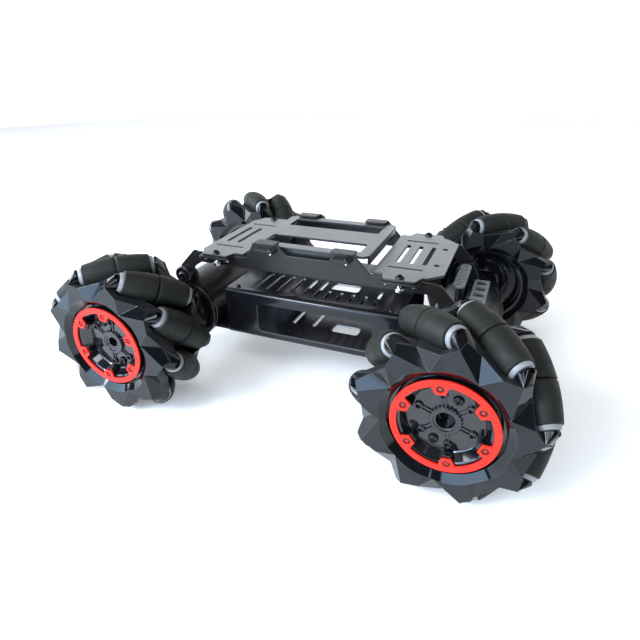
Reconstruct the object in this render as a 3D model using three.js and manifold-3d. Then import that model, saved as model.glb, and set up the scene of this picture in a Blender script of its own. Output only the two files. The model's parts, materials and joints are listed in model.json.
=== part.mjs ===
// Four-wheel mecanum robot chassis, in millimetres, +Z up, standing on the ground plane z = 0.
// +X is the front of the chassis, +Y its left side, and the origin is below its centre.
import * as THREE from 'three';
import Module from 'manifold-3d';
import { mergeVertices } from 'three/addons/utils/BufferGeometryUtils.js';

const wasm = await Module();
wasm.setup();

// ---- driving dimensions -------------------------------------------------------------------
const WHEEL_R = 48.5;            // outside radius of a wheel, over its rollers
const WHEEL_SIDES = 27;          // facets round a shell, three to each roller
const ROLLER_SIDES = 12;
const WHEELBASE = 195.6;         // front axle to rear axle
const TRACK = 166;               // between the mid-planes of the left and right wheels
const HALF_WIDTH = 22;           // wheel mid-plane to the plane of the trim ring
const ROLLERS = 9;
const ROLLER_AXIS_R = 39.3;      // from the wheel axis to a roller's axis
const ROLLER_HALF = 21;          // half of a roller's length
const ROLLER_TILT = Math.PI / 4;
const LOBE_LEAD = 22.5;          // degrees from a roller's middle to the lobe that holds its end
const TAB_LEAD = 33;             // degrees from that lobe to a tab of the trim ring
const ROLLER_GAP = 0.7;          // clearance between a roller and the shells
const LOBE_END = { r: 4.9, thick: 1.2, sides: 8, sunk: 0.3 };  // round seat of a roller's pin
const GAP = 0.3;                 // clearance between pieces that rest on each other

const CORE_R = 28.6;             // barrel of a wheel, under the rollers
const RIM_R = 26.4;              // groove round the trim ring
const LIP_Z = 23.6;              // highest line of a wheel's face
const RING = { outer: 24.7, inner: 21.5, tabTip: 17.5, tabs: 6, thick: 1.1 };
const HUB = { face: 15.7, radius: 17.5, bore: 4.3, boss: 7, bossFace: 17.2 };

const SHEET = 1.5;               // thickness of every folded or flat sheet
const SLOT_CORNER = 1.6;         // largest clipped corner of a slot
const DECK_TOP = 89;             // top of the two end plates
const RAISED_TOP = 96;           // top of the raised middle plate
const TAB_TOP = 98;              // top of the rail tabs, whose lips lie over that plate
const TAB_FLANGE_TOP = 95.5;     // top of the flanges that carry its screws
const RAIL_FACE = 36.6;          // outer face of a side rail, from the centre line
const TRAY = { x0: -57, x1: 60, halfY: 38, top: 64.3, bottom: 31.5 };
const MOTOR_OFFSET = { x: 5.7, z: -7.5 };  // gearbox body from the output shaft, towards the centre
const MOTOR_R = 18.5;
const MOTOR_FACE = 59;           // front face of a motor, from the centre line
const TUBE_R = 22;               // axle tube that holds two motors
const TUBE_HALF = 35;
const TUBE_SIDES = 28;
const FOOT = { near: 50, far: 76, halfY: 30 };  // plate from an axle tube to below the tray
const BOLT = { x: 88, z: 70, r: 6 };  // where a rail is bolted to an axle tube

// ---- materials ----------------------------------------------------------------------------
const finish = (color, roughness, metalness) =>
  new THREE.MeshStandardMaterial({ color, roughness, metalness });
const deckMetal = () => finish(0x8a8c8f, 0.42, 0.85);
const blackMetal = () => finish(0x17171a, 0.35, 0.6);
const shellPlastic = () => finish(0x24272b, 0.45, 0.0);
const redPlastic = () => finish(0xd8281c, 0.4, 0.0);
const rubber = () => finish(0x23251f, 0.75, 0.0);

// ---- solids -------------------------------------------------------------------------------
const rad = THREE.MathUtils.degToRad;

function solid(geometry) {
  const bare = geometry.clone();
  bare.deleteAttribute('normal');
  bare.deleteAttribute('uv');
  const merged = mergeVertices(bare, 1e-4);
  const vertProperties = new Float32Array(merged.attributes.position.array);
  const triVerts = new Uint32Array(merged.index.array);
  return new wasm.Manifold(new wasm.Mesh({ numProp: 3, vertProperties, triVerts }));
}

function toGeometry(body) {
  const mesh = body.getMesh();
  const geometry = new THREE.BufferGeometry();
  geometry.setAttribute('position', new THREE.BufferAttribute(mesh.vertProperties, 3));
  geometry.setIndex(new THREE.BufferAttribute(mesh.triVerts, 1));
  const flat = geometry.toNonIndexed();
  flat.computeVertexNormals();
  return flat;
}

const join = (...bodies) => bodies.reduce((all, body) => all.add(body));
const cut = (body, ...tools) => tools.reduce((rest, tool) => rest.subtract(tool), body);

function named(name, body, material) {
  const mesh = new THREE.Mesh(toGeometry(body), material);
  mesh.name = name;
  return mesh;
}

const box = (x0, x1, y0, y1, z0, z1) => solid(
  new THREE.BoxGeometry(x1 - x0, y1 - y0, z1 - z0)
    .translate((x0 + x1) / 2, (y0 + y1) / 2, (z0 + z1) / 2));

// A closed profile of [radius, height] points turned about the local Z axis.
function turned(profile, sides) {
  const points = profile.map(([r, z]) => new THREE.Vector2(r, z));
  return new THREE.LatheGeometry(points, sides).rotateX(Math.PI / 2);
}

// A cylinder along Y.
const rod = (x, z, radius, y0, y1, sides = 16) => solid(
  new THREE.CylinderGeometry(radius, radius, y1 - y0, sides).translate(x, (y0 + y1) / 2, z));

function outline(points) {
  return new THREE.Shape(points.map(([x, y]) => new THREE.Vector2(x, y)));
}

// A flat plate in the XY plane between two heights.
function plate(shape, z0, z1) {
  const options = { depth: z1 - z0, bevelEnabled: false, curveSegments: 3 };
  return new THREE.ExtrudeGeometry(shape, options).translate(0, 0, z0);
}

// An upright sheet: its outline is drawn in X and Z, and it fills y0 to y1.
function upright(shape, y0, y1) {
  const options = { depth: y1 - y0, bevelEnabled: false, curveSegments: 6 };
  return new THREE.ExtrudeGeometry(shape, options).rotateX(Math.PI / 2).translate(0, y1, 0);
}

// A hole with clipped corners, which reads as a rounded slot.
function slot(x0, x1, y0, y1) {
  const c = Math.min(0.3 * (x1 - x0), 0.3 * (y1 - y0), SLOT_CORNER);
  return new THREE.Path([
    [x0 + c, y0], [x1 - c, y0], [x1, y0 + c], [x1, y1 - c],
    [x1 - c, y1], [x0 + c, y1], [x0, y1 - c], [x0, y0 + c],
  ].map(([x, y]) => new THREE.Vector2(x, y)));
}

const mirrored = (points) => [...points, ...points.map(([x, y]) => [x, -y]).reverse()];

// ---- wheels -------------------------------------------------------------------------------
// A wheel is built with its axis on local Z, and +Z is its outer side. A hand of +1 leans each
// roller clockwise towards the outer side, and -1 the other way.

// Radius of a roller at distance s from its middle, so that the rollers together make a drum.
const rollerRadius = (s) =>
  WHEEL_R - Math.hypot(ROLLER_AXIS_R, s * Math.sin(ROLLER_TILT));

// Moves a shape drawn about a roller's axis to that roller, at angle a round the wheel.
const onRoller = (geometry, a, hand) => geometry
  .rotateX(hand * ROLLER_TILT)
  .translate(ROLLER_AXIS_R, 0, 0)
  .rotateZ(a);

// One roller about the wheel axis, at angle a, grown by a clearance.
function rollerGeometry(a, hand, grow) {
  const half = ROLLER_HALF + grow;
  const stations = [-1, -0.52, 0, 0.52, 1].map((t) => t * half);
  const profile = [[0, -half], ...stations.map((s) => [rollerRadius(s) + grow, s]), [0, half]];
  return onRoller(turned(profile, ROLLER_SIDES), a, hand);
}

const rollerAngle = (phase, k) => rad(phase + (k * 360) / ROLLERS);

// The nine-pointed face of a shell. Angles are in degrees from a lobe's tip.
const FACE = {
  valley: [-19.9, 29.5, LIP_Z],
  lip: [[-12, 30, 23.5], [0, 30.4, 23.4], [12, 30.1, 23.5]],
  floor: [-12.6, 39.5, 17.8],
  peak: [-3, 44.1, 19.6],
  tip: [0.1, 41.6, 23.2],
  shoulder: [10.6, 37.9, 23.3],
  groove: 20.7,
  back: 12,
};

function facePoint([degrees, r, z], lobe, hand) {
  const a = lobe + hand * rad(degrees);
  return [r * Math.cos(a), r * Math.sin(a), z];
}

function starFace(lobe0, hand) {
  const triangles = [];
  const quad = (a, b, c, d) => triangles.push(a, b, c, a, c, d);
  const at = (lobe, [degrees, r], z, radius = r) => facePoint([degrees, radius, z], lobe, hand);
  for (let k = 0; k < ROLLERS; k += 1) {
    const lobe = lobe0 + (hand * k * 2 * Math.PI) / ROLLERS;
    const next = lobe + (hand * 2 * Math.PI) / ROLLERS;
    const top = (p) => facePoint(p, lobe, hand);
    const rim = [FACE.valley, ...FACE.lip].map((p) => [p, lobe]);
    rim.push([FACE.valley, next]);
    const [vA, vB, vC, vD, vE] = rim.map(([p, l]) => facePoint(p, l, hand));
    const tip = top(FACE.tip);
    const shoulder = top(FACE.shoulder);
    const floor = top(FACE.floor);
    const peak = top(FACE.peak);
    const nextFloor = facePoint(FACE.floor, next, hand);
    triangles.push(vB, tip, vC, vC, tip, shoulder, vC, shoulder, vD);
    triangles.push(vA, tip, vB, vA, floor, peak, vA, peak, tip);
    triangles.push(vD, shoulder, vE, vE, shoulder, nextFloor);
    const low = (p, l) => at(l, p, FACE.back);
    const edge = [FACE.floor, FACE.peak, FACE.tip, FACE.shoulder].map((p) => [p, lobe]);
    edge.push([FACE.floor, next]);
    for (let i = 0; i + 1 < edge.length; i += 1) {
      const [p, lp] = edge[i];
      const [q, lq] = edge[i + 1];
      quad(facePoint(p, lp, hand), low(p, lp), low(q, lq), facePoint(q, lq, hand));
    }
    for (let i = 0; i + 1 < rim.length; i += 1) {
      const [p, lp] = rim[i];
      const [q, lq] = rim[i + 1];
      const groove = (r, l) => at(l, r, FACE.groove, RIM_R);
      const under = (r, l) => at(l, r, FACE.back, RIM_R);
      quad(groove(p, lp), facePoint(p, lp, hand), facePoint(q, lq, hand), groove(q, lq));
      quad(under(p, lp), groove(p, lp), groove(q, lq), under(q, lq));
    }
    const inner = rim.map(([p, l]) => at(l, p, FACE.back, RIM_R));
    const outer = edge.map(([p, l]) => low(p, l));
    for (let i = 0; i + 1 < outer.length; i += 1) {
      triangles.push(outer[i], inner[i], inner[i + 1], outer[i], inner[i + 1], outer[i + 1]);
    }
  }
  const ordered = hand > 0 ? triangles : triangles.reverse();
  const geometry = new THREE.BufferGeometry();
  geometry.setAttribute('position', new THREE.Float32BufferAttribute(ordered.flat(), 3));
  return geometry;
}

// The end of a lobe, drawn from a round seat on a roller's axis to the lobe's face.
function lobeEnd(a, hand) {
  const lobe = a - hand * rad(LOBE_LEAD);
  const seat = new THREE.CylinderGeometry(LOBE_END.r, LOBE_END.r, LOBE_END.thick, LOBE_END.sides)
    .rotateX(Math.PI / 2)
    .translate(0, 0, ROLLER_HALF + LOBE_END.thick / 2);
  const corners = [FACE.floor, FACE.peak, FACE.tip].map(([degrees, r, z]) =>
    facePoint([degrees, r - LOBE_END.sunk, z - LOBE_END.sunk], lobe, hand));
  return wasm.Manifold.hull([solid(onRoller(seat, a, hand)), ...corners]);
}

// The whole face of a shell, with its nine lobes.
function face(phase, hand) {
  const ends = [];
  for (let k = 0; k < ROLLERS; k += 1) ends.push(lobeEnd(rollerAngle(phase, k), hand));
  return join(solid(starFace(rad(phase - hand * LOBE_LEAD), hand)), ...ends);
}

function rollerClearances(phase, hand) {
  const tools = [];
  for (let k = 0; k < ROLLERS; k += 1) {
    tools.push(solid(rollerGeometry(rollerAngle(phase, k), hand, ROLLER_GAP)));
  }
  return tools;
}

// Outer half of a wheel: barrel, dished hub and star face in one moulding.
function outerShell(phase, hand) {
  const seat = HALF_WIDTH - RING.thick - GAP;
  const core = solid(turned([
    [0, 6], [HUB.bore, 6], [HUB.bore, HUB.bossFace], [HUB.boss, HUB.bossFace], [HUB.boss, HUB.face],
    [HUB.radius, HUB.face], [20.6, seat], [27.5, seat], [CORE_R, 19], [CORE_R, GAP / 2],
    [26, GAP / 2], [26, 11.5], [9, 11.5], [9, 1], [0, 1],
  ].reverse(), WHEEL_SIDES));
  const posts = [];
  for (let i = 0; i < RING.tabs; i += 1) {
    const a = rad(tabPhase(phase, hand) + (i * 360) / RING.tabs);
    posts.push(solid(new THREE.BoxGeometry(4.2, 5, seat - 14).translate(19.2, 0, (seat + 14) / 2)
      .rotateZ(a)));
  }
  return cut(join(core, face(phase, hand), ...posts), ...rollerClearances(phase, hand));
}

// Inner half of a wheel, on the motor's side, with a bore for the motor shaft.
function innerShell(phase, hand) {
  const core = solid(turned([
    [3.4, -1], [9, -1], [9, -7], [26, -7], [26, -GAP / 2], [CORE_R, -GAP / 2], [CORE_R, -19],
    [27.5, -20.6], [24.5, -20.6], [22, -10], [9, -10], [9, -13], [3.4, -13], [3.4, -1],
  ].reverse(), WHEEL_SIDES));
  const flip = new THREE.Matrix4().makeRotationAxis(
    new THREE.Vector3(Math.cos(rad(phase)), Math.sin(rad(phase)), 0), Math.PI);
  const whole = join(core, face(phase, hand).transform(flip.elements));
  return cut(whole, ...rollerClearances(phase, hand));
}

const tabPhase = (phase, hand) => phase + hand * (TAB_LEAD - LOBE_LEAD);

function trimRing(phase, hand) {
  const start = tabPhase(phase, hand);
  const shape = new THREE.Shape().absarc(0, 0, RING.outer, 0, 2 * Math.PI);
  const points = [];
  const step = 360 / RING.tabs;
  const polar = (degrees, r) =>
    new THREE.Vector2(r * Math.cos(rad(degrees)), r * Math.sin(rad(degrees)));
  for (let i = 0; i < RING.tabs; i += 1) {
    const a = start + i * step;
    points.push(polar(a - 12, RING.inner), polar(a - 8.5, RING.tabTip), polar(a + 8.5, RING.tabTip));
    points.push(...[12, 24, 36].map((turn) => polar(a + turn, RING.inner)));
  }
  shape.holes.push(new THREE.Path(points));
  const options = { depth: RING.thick, bevelEnabled: false, curveSegments: 18 };
  const z = HALF_WIDTH - RING.thick;
  return solid(new THREE.ExtrudeGeometry(shape, options).translate(0, 0, z));
}

// Wheels by corner. The phase is the angle of one roller, seen from outside the wheel.
const WHEELS = [
  { name: 'front_right', x: 1, y: -1, hand: 1, phase: 28 },
  { name: 'rear_right', x: -1, y: -1, hand: -1, phase: -27.5 },
  { name: 'front_left', x: 1, y: 1, hand: -1, phase: 136 },
  { name: 'rear_left', x: -1, y: 1, hand: 1, phase: 207.5 },
];

function wheel({ name, x, y, hand, phase }) {
  const group = new THREE.Group();
  group.add(named(`${name}_outer_shell`, outerShell(phase, hand), shellPlastic()));
  group.add(named(`${name}_inner_shell`, innerShell(phase, hand), shellPlastic()));
  group.add(named(`${name}_trim_ring`, trimRing(phase, hand), redPlastic()));
  for (let k = 0; k < ROLLERS; k += 1) {
    const roller = solid(rollerGeometry(rollerAngle(phase, k), hand, 0));
    group.add(named(`${name}_roller_${k + 1}`, roller, rubber()));
  }
  const outward = new THREE.Vector3(0, y, 0);
  const up = new THREE.Vector3(0, 0, 1);
  const across = new THREE.Vector3().crossVectors(up, outward);
  group.quaternion.setFromRotationMatrix(new THREE.Matrix4().makeBasis(across, up, outward));
  group.position.set((x * WHEELBASE) / 2, (y * TRACK) / 2, WHEEL_R);
  return group;
}

// ---- drive --------------------------------------------------------------------------------
const bodyX = (x) => x * (WHEELBASE / 2 - MOTOR_OFFSET.x);
const bodyZ = WHEEL_R + MOTOR_OFFSET.z;

// Gearmotor: a can on the tube's axis, with its output shaft on the wheel's axis.
function motor({ name, x, y }) {
  const side = (y0, y1) => (y < 0 ? [-y1, -y0] : [y0, y1]);
  const shaftX = (x * WHEELBASE) / 2;
  const can = rod(bodyX(x), bodyZ, MOTOR_R - 1, ...side(4, 40), 24);
  const gearbox = rod(bodyX(x), bodyZ, MOTOR_R, ...side(38, MOTOR_FACE), 24);
  const nose = rod(shaftX, WHEEL_R, 6, ...side(MOTOR_FACE - 1, MOTOR_FACE + 6));
  const shaft = rod(shaftX, WHEEL_R, 3, ...side(MOTOR_FACE, TRACK / 2 - 2), 12);
  return named(`${name}_motor`, join(can, gearbox, nose, shaft), blackMetal());
}

// Ear that carries the bolt of a side rail, as an upright plate on the axle tube.
function boltEar(x, y0, y1) {
  const ear = outline([
    [x * (BOLT.x - 8), 52], [x * (BOLT.x + 12), 52], [x * (BOLT.x + 6), BOLT.z],
    [x * (BOLT.x + 3.5), BOLT.z + 5], [x * (BOLT.x - 3.5), BOLT.z + 5], [x * (BOLT.x - 7), BOLT.z],
  ]);
  return solid(upright(ear, y0, y1));
}

const motorBore = (x) =>
  rod(bodyX(x), bodyZ, MOTOR_R + GAP, -TUBE_HALF - 1, TUBE_HALF + 1, TUBE_SIDES);

// Tube with an ear at each end for the side rails and a foot that carries the tray.
function axleTube(x) {
  const inset = 0.2;
  const earEnd = TUBE_HALF - inset;
  const earStart = earEnd - 2 * SHEET;
  const ears = [boltEar(x, -earEnd, -earStart), boltEar(x, earStart, earEnd)];
  const tube = rod(bodyX(x), bodyZ, TUBE_R, -TUBE_HALF, TUBE_HALF, TUBE_SIDES);
  const [near, far] = [FOOT.near * x, FOOT.far * x].sort((a, b) => a - b);
  const footTop = TRAY.bottom - GAP;
  const foot = box(near, far, -FOOT.halfY, FOOT.halfY, footTop - 2 * SHEET, footTop);
  return cut(join(tube, ...ears, foot), motorBore(x));
}

// Front axle tube: carries a row of connector ports and a slotted clamp bar on two posts.
function frontAxle() {
  const ports = box(94.6, 103.8, -19, 19, 58, 70);
  const sockets = [-13.8, -4.6, 4.6, 13.8].map((y) => box(96.4, 102, y - 2.8, y + 2.8, 65, 71));
  const barHalf = [[85.3, -16], [87, -18.2], [90.2, -18.2], [91.9, -16]];
  const bar = solid(plate(outline(mirrored(barHalf)), 78, 79.6));
  const holes = [-15, 15].map((y) => box(87.2, 90, y - 1.4, y + 1.4, 77, 81));
  const posts = [-9, 9].map((y) => solid(
    new THREE.CylinderGeometry(2.2, 2.2, 20, 10).rotateX(Math.PI / 2).translate(88.6, y, 69)));
  const whole = join(axleTube(1), cut(ports, ...sockets), cut(bar, ...holes), ...posts);
  return named('front_axle_housing', cut(whole, motorBore(1)), blackMetal());
}

const rearAxle = () => named('rear_axle_housing', axleTube(-1), blackMetal());

// ---- chassis ------------------------------------------------------------------------------
// Side rail: an upright sheet with two raised tabs, bent flanges and a leg at each end.
function sideRail(name, y) {
  const profile = outline([
    [-74, 80], [-80, 76], [-83, 70], [-84, 65], [-92, 65], [-93.5, 70], [-91, 76],
    [-79, 88], [-76, DECK_TOP - SHEET - GAP], [-40, DECK_TOP - SHEET - GAP],
    [-33.5, TAB_TOP], [-19, TAB_TOP], [-10.5, 92], [17, 92], [17, TAB_TOP], [31.5, TAB_TOP],
    [41.4, DECK_TOP - SHEET - GAP], [76, DECK_TOP - SHEET - GAP], [82, 86],
    [91, 76], [93.5, 70], [92, 65], [84, 65], [83, 70], [80, 76], [74, 80],
  ]);
  const side = (a, b) => (y < 0 ? [-b, -a] : [a, b]);
  const web = solid(upright(profile, ...side(RAIL_FACE - SHEET, RAIL_FACE)));
  const flangeTop = DECK_TOP - SHEET - GAP;
  const flanges = [
    [-71, -49, RAIL_FACE - 1, 43, flangeTop - SHEET, flangeTop],
    [49, 71, RAIL_FACE - 1, 43, flangeTop - SHEET, flangeTop],
    [-30, -17.5, RAIL_FACE - 1, 42, TAB_FLANGE_TOP - SHEET, TAB_FLANGE_TOP],
    [19.5, 31, RAIL_FACE - 1, 42, TAB_FLANGE_TOP - SHEET, TAB_FLANGE_TOP],
    [-33.5, -19, 29, RAIL_FACE - 0.5, TAB_TOP - SHEET, TAB_TOP],
    [17, 31.5, 29, RAIL_FACE - 0.5, TAB_TOP - SHEET, TAB_TOP],
  ].map(([x0, x1, a, b, z0, z1]) => box(x0, x1, ...side(a, b), z0, z1));
  return named(name, join(web, ...flanges), blackMetal());
}

// End plate of the deck: rows of slots, thin side slots, and ears over the rail flanges.
function endPlate(name, x, end, corner, slotRows, holes) {
  const half = [[42, 35.5], [48, 35.5], [50.5, 42.5], [68.5, 42.5], [71, 35.5],
    [end - corner, 35.5], [end, 35.5 - corner]];
  const shape = outline(mirrored(half.map(([px, py]) => [x * px, -py])));
  for (const sx of slotRows) shape.holes.push(slot(x * sx - 1.25, x * sx + 1.25, -16, 16));
  for (const y of [-24.5, 24.5]) {
    shape.holes.push(slot(Math.min(x * 48.5, x * 69), Math.max(x * 48.5, x * 69), y - 0.7, y + 0.7));
  }
  for (const [hx, hy] of holes) shape.holes.push(slot(hx - 1.5, hx + 1.5, hy - 1.5, hy + 1.5));
  return named(name, solid(plate(shape, DECK_TOP - SHEET, DECK_TOP)), deckMetal());
}

// Raised middle plate: two long slots, a lip turned down at each end and a skirt at each side.
function raisedPlate() {
  const half = [[-39, -30], [-36.5, -32.7], [36.5, -32.7], [39, -30]];
  const shape = outline(mirrored(half));
  for (const [y0, y1] of [[-25.6, -11], [11, 25.6]]) shape.holes.push(slot(-32, 32, y0, y1));
  const top = solid(plate(shape, RAISED_TOP - SHEET, RAISED_TOP));
  const lips = [-39, 39 - SHEET].map((x) => box(x, x + SHEET, -29, 29, RAISED_TOP - 6, RAISED_TOP - 0.5));
  const skirts = [-32.7, 32.7 - SHEET].map((y) =>
    box(-14, 15.5, y, y + SHEET, RAISED_TOP - 5.5, RAISED_TOP - 0.5));
  return named('raised_middle_plate', join(top, ...lips, ...skirts), deckMetal());
}

// Belly tray: a folded sheet box with a long window in each side, rows of slots through its top,
// and two openings and two cross slots through its bottom.
function bellyTray() {
  const { x0, x1, halfY, top, bottom } = TRAY;
  const bend = 3;
  const ring = outline([
    [-halfY + bend, bottom], [halfY - bend, bottom], [halfY - 0.8, bottom + 0.9], [halfY, bottom + bend],
    [halfY, top - bend], [halfY - 0.8, top - 0.9], [halfY - bend, top],
    [-halfY + bend, top], [-halfY + 0.8, top - 0.9], [-halfY, top - bend],
    [-halfY, bottom + bend], [-halfY + 0.8, bottom + 0.9],
  ]);
  const hollow = outline([
    [-halfY + SHEET, bottom + SHEET], [halfY - SHEET, bottom + SHEET],
    [halfY - SHEET, top - SHEET], [-halfY + SHEET, top - SHEET],
  ]);
  ring.holes.push(hollow);
  const options = { depth: x1 - x0, bevelEnabled: false };
  const tube = new THREE.ExtrudeGeometry(ring, options)
    .applyMatrix4(new THREE.Matrix4().makeBasis(
      new THREE.Vector3(0, 1, 0), new THREE.Vector3(0, 0, 1), new THREE.Vector3(1, 0, 0)))
    .translate(x0, 0, 0);
  const window = box(-34, 44, -halfY - 1, halfY + 1, bottom + 5, top - 7.5);
  const throughTop = (x0, x1, y0, y1) => box(x0, x1, y0, y1, top - SHEET - 1, top + 1);
  const throughBottom = (x0, x1, y0, y1) => box(x0, x1, y0, y1, bottom - 1, bottom + SHEET + 1);
  const cutters = [-20, -5].map((x) => throughBottom(x - 1.2, x + 1.2, -13, 13));
  const slots = [
    ...[-38, -30, -22, -14, -5, 3].map((x) => [x, 5, 30]),
    ...[10, 18, 26, 34].map((x) => [x, 18.5, 30]),
    [41.5, 9, 30],
  ];
  for (const [x, y0, y1] of slots) {
    for (const [a, b] of [[y0, y1], [-y1, -y0]]) cutters.push(throughTop(x - 1.2, x + 1.2, a, b));
  }
  for (const [a, b] of [[-15, -5], [5, 15]]) {
    cutters.push(throughTop(8.5, 27, a, b), throughBottom(8.5, 27, a, b));
  }
  return named('belly_tray', cut(solid(tube), window, ...cutters), blackMetal());
}

// ---- assembly -----------------------------------------------------------------------------
const chassis = new THREE.Group();
chassis.add(bellyTray());
chassis.add(sideRail('right_side_rail', -1));
chassis.add(sideRail('left_side_rail', 1));
chassis.add(endPlate('front_deck_plate', 1, 81.5, 8, [52, 60, 68], [[75, -14.5], [75, 14.5]]));
chassis.add(endPlate('rear_deck_plate', -1, 73, 1.5, [57.5, 65.6], []));
chassis.add(raisedPlate());
chassis.add(frontAxle());
chassis.add(rearAxle());
for (const corner of WHEELS) {
  chassis.add(motor(corner));
  chassis.add(wheel(corner));
}

export default chassis;
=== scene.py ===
"""The looks of a four wheel mecanum robot chassis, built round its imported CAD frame.

Lengths are in millimetres until a mesh is made, in the frame's own axes: +X is the front of the
chassis, +Y its left side and +Z up. A wheel is built in its own frame, with its axis on local Z,
+Z towards its outer side and roller 1 on local +X, and then placed by its joint.
"""
import json
import math

import bmesh
import bpy
from mathutils import Matrix, Vector


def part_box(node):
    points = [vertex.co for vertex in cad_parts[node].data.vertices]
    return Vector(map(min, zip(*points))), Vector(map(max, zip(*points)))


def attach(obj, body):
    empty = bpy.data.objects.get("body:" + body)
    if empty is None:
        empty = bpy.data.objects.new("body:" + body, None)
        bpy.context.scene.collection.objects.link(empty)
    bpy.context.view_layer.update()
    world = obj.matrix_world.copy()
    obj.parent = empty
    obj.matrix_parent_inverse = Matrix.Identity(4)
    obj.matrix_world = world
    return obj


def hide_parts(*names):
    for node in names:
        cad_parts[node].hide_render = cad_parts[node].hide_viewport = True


MM = 0.001
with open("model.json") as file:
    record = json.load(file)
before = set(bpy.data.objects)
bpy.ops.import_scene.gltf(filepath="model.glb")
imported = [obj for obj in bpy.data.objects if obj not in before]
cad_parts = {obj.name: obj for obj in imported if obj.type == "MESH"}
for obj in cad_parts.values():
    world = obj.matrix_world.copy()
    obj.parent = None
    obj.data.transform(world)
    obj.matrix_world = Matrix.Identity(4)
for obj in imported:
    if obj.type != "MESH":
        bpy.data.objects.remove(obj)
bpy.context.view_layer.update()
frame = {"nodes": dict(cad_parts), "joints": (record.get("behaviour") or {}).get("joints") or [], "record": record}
JOINTS = {joint["name"]: joint for joint in frame["joints"]}
CORNERS = ("front_right", "rear_right", "front_left", "rear_left")

# ---- sizes --------------------------------------------------------------------------------
# rollers
ROLLERS = 9
PITCH = 360 / ROLLERS
WHEEL_R = 48.5            # over the rollers
ROLLER_AXIS_R = 39.3
ROLLER_TILT = 45
ROLLER_HALF = 21
ROLLER_GAP = 0.6          # between a roller and the shells
RUBBER_END = 18.9         # where the rubber of a roller stops
RUBBER_INSET = 0.12       # rubber surface below the drum that the rollers make
RUBBER_BORE = 5.3
SEAM_HALF = 0.35          # half the gap between a roller's two sleeves

# star face of the wheel: degrees from the lobe's tip, radius, height
VALLEY = (-19.9, 29.5, 23.55)
FLOOR = (-12.6, 39.5, 17.8)
PEAK = (-3, 44.1, 19.6)
TIP = (0.1, 41.6, 23.2)
SHOULDER = (10.6, 37.9, 23.3)
LOBE_LEAD = 22.5          # from a roller's middle to the lobe that holds its end, in degrees
LIP_RISE = 0.9            # of the lip's radius, halfway between two valleys
LIP_DIP = 0.2             # of the lip's height, in the same place
LIP_STEPS = 12            # facets of the lip from one valley to the next
KITE_STEPS = 1            # of them, those that the kite takes
FALL_STEPS = 3            # and those that the facet falling to the next valley takes
SEAT_R = 4.9              # round end of a lobe, over a roller's pin
PIN_R = 0.95

# barrel, ring and hub
BACK_Z = 12               # back of the star
GROOVE_Z = 20.7
RIM_R = 26.4
CORE_R = 28.6
CORE_IN = 26              # inside of the barrel
RING_Z = (20.9, 22.0)
RING_OUTER = 24.7
RING_INNER = 21.5
TABS = 6
TAB_TIP = 17.5            # radius of a tab's end
TAB_PIN_R = 20.1          # radius of the circle of pins in the tabs
TAB_LEAD = 10.5           # from local X to the first tab, in degrees
HUB_FACE = 15.7
HUB_R = 17.5
BOSS_R = 7
BOSS_FACE = 17.2
BORE_R = 4.3
HUB_SCREWS = (30, 210)    # degrees after the first tab
HUB_SCREW_R = 12.8

# chassis
SHEET = 1.5
RAIL_FACE = 36.6          # outer face of a rail, from the middle
RAIL_BOLT = (88, 70)      # along X and up
TUBE_R = 22
TUBE_HALF = 35
AXLE_AT = (92.1, 41)      # middle of an axle tube, along X and up
MOTOR_R = 18.5
MOTOR_SHIFT = (5.7, 7.5)  # from the wheel's axis to the can's, inwards and down
CAN_FACE = 59
TAB_TOP = 97.98
TAB_SPANS = ((-33.5, -19), (17, 31.5))
FLANGE_TOP = 87.2         # flanges that carry the end plates
FLANGE_SPANS = ((-71, -49), (49, 71))
SMALL_FLANGE_TOP = 95.5   # flanges that carry the raised plate
SMALL_FLANGE_SPANS = ((-30, -17.5), (19.5, 31))
SCREW_Y = 39.7
DECK_SCREW_X = (-59.5, 59.5)
FLANGE_SCREW_X = (-20.2, 28.4)
TRAY_SCREW_X, TRAY_SCREW_Y = (-50, 54), 32.5
SKIRT = (-14, 15.5)       # turned-down sides of the raised plate, along X
SHORT_SLOTS = (10, 18, 26, 34)
LONG_SLOTS = (-38, -30, -22, -14, -5, 3)
END_SLOT = 41.5
BOTTOM_SLOTS = (-20, -5)
RAIL_OUTLINE = [
    (-74, 80), (-80, 76), (-83, 70), (-84, 65), (-92, 65), (-93.5, 70), (-91, 76), (-79, 88),
    (-76, 87.2), (-40, 87.2), (-33.5, TAB_TOP), (-19, TAB_TOP), (-10.5, 92), (17, 92),
    (17, TAB_TOP), (31.5, TAB_TOP), (41.4, 87.2), (76, 87.2), (82, 86), (91, 76), (93.5, 70),
    (92, 65), (84, 65), (83, 70), (80, 76), (74, 80)]


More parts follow.
